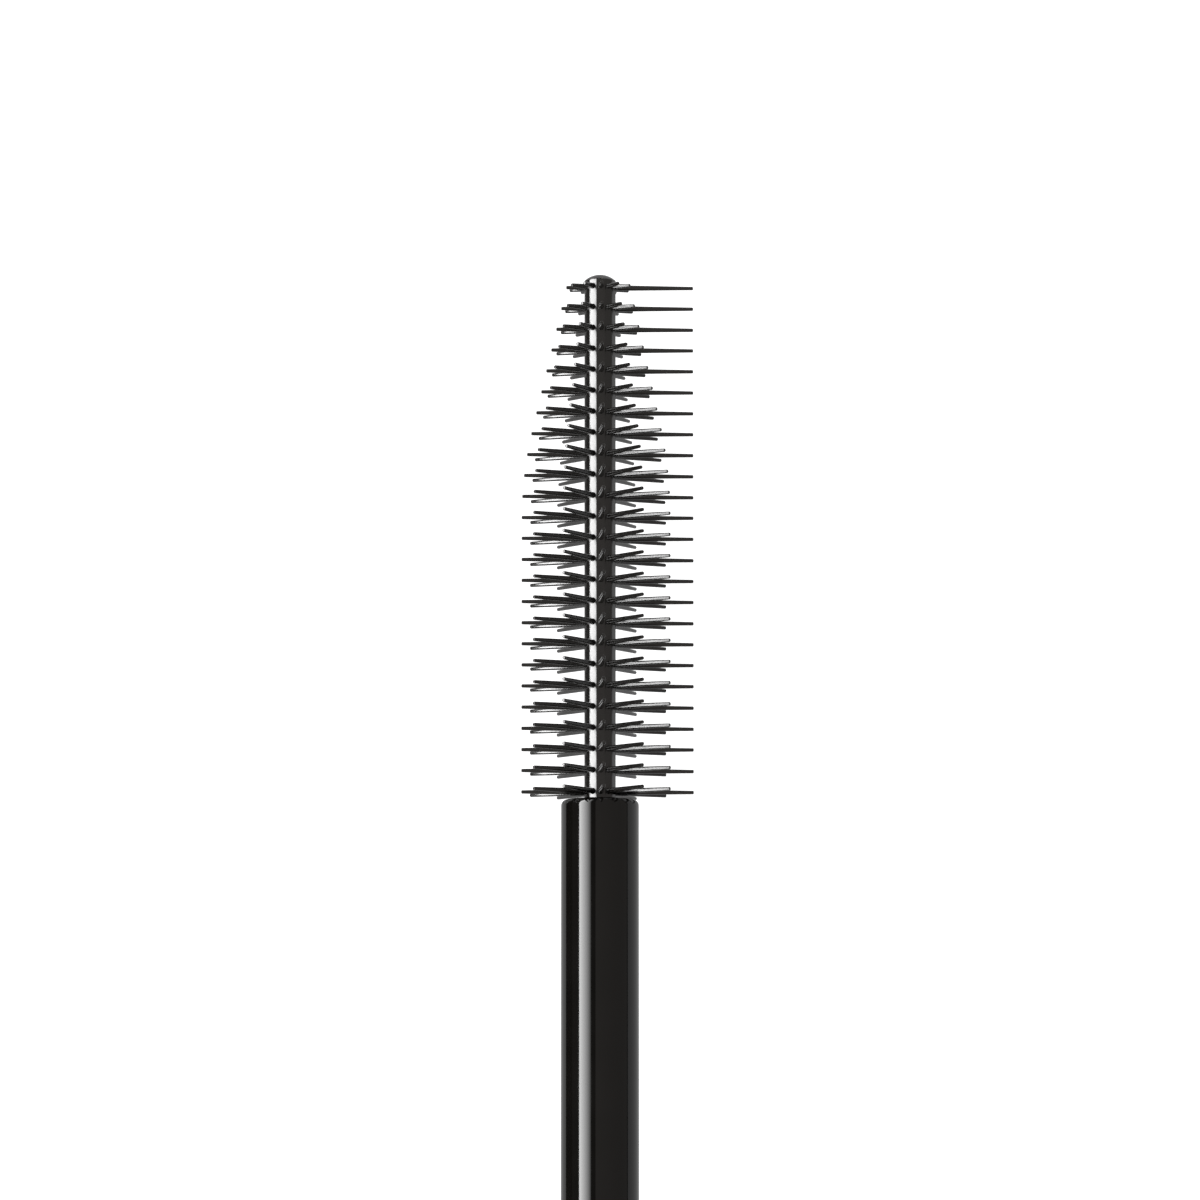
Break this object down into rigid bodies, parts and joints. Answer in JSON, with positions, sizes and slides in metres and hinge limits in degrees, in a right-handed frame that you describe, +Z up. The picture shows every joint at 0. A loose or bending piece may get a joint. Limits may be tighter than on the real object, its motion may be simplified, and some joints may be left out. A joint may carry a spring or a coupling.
{
  "type": "mascara tube",
  "caption": "Round screw-cap mascara lying open in line: the capped wand, with its moulded bristle brush, drawn straight out of the tube's wiped neck.",
  "frame": {"origin": "middle of the open mascara's length, on the table under its axis", "axes": "+X along the axis, from the cap's end face to the foot of the tube, with the wand drawn out; +Z up; -Y is the side that the comb column of the brush points to"},
  "size_m": [0.2126, 0.0176, 0.0175],
  "materials": {
    "vial": "moulded polypropylene, black, satin",
    "sleeve": "high gloss black lacquer",
    "collar": "polished, anodised",
    "foot": "moulded, satin",
    "wiper": "soft natural polyethylene",
    "washer": "foamed polyethylene, white",
    "weight": "turned, zinc plated",
    "cap_shell": "high gloss black lacquer",
    "inlay": "polished, anodised",
    "inner_cap": "moulded polypropylene, black, satin",
    "stem": "moulded, glossy black",
    "brush": "moulded elastomer, black, satin"
  },
  "bodies": {
    "tube": {"vial": "vial", "outer_sleeve": "sleeve", "shoulder_collar": "collar", "foot_plug": "foot", "wiper": "wiper"},
    "washer": {"liner_washer": "washer"},
    "weight": {"cap_weight": "weight"},
    "wand": {"cap_shell": "cap_shell", "cap_inlay": "inlay", "inner_cap": "inner_cap", "stem": "stem", "brush": "brush"}
  },
  "joints": [
    {"name": "insert", "type": "slide", "parent": "tube", "child": "washer", "axis": [1, 0, 0], "range_m": [0, 0.09056], "deforming": ["wiper"]},
    {"name": "screw_advance", "type": "slide", "parent": "washer", "child": "weight", "axis": [1, 0, 0], "range_m": [0, 0.00375]},
    {"name": "screw_turn", "type": "hinge", "parent": "weight", "child": "wand", "pos_m": [-0.06934, 0, 0.00875], "axis": [1, 0, 0], "range_deg": [0, 450]}
  ],
  "couplings": [
    {"joint": "screw_advance", "follows": "screw_turn", "m_per_rad": 0.00047746}
  ]
}
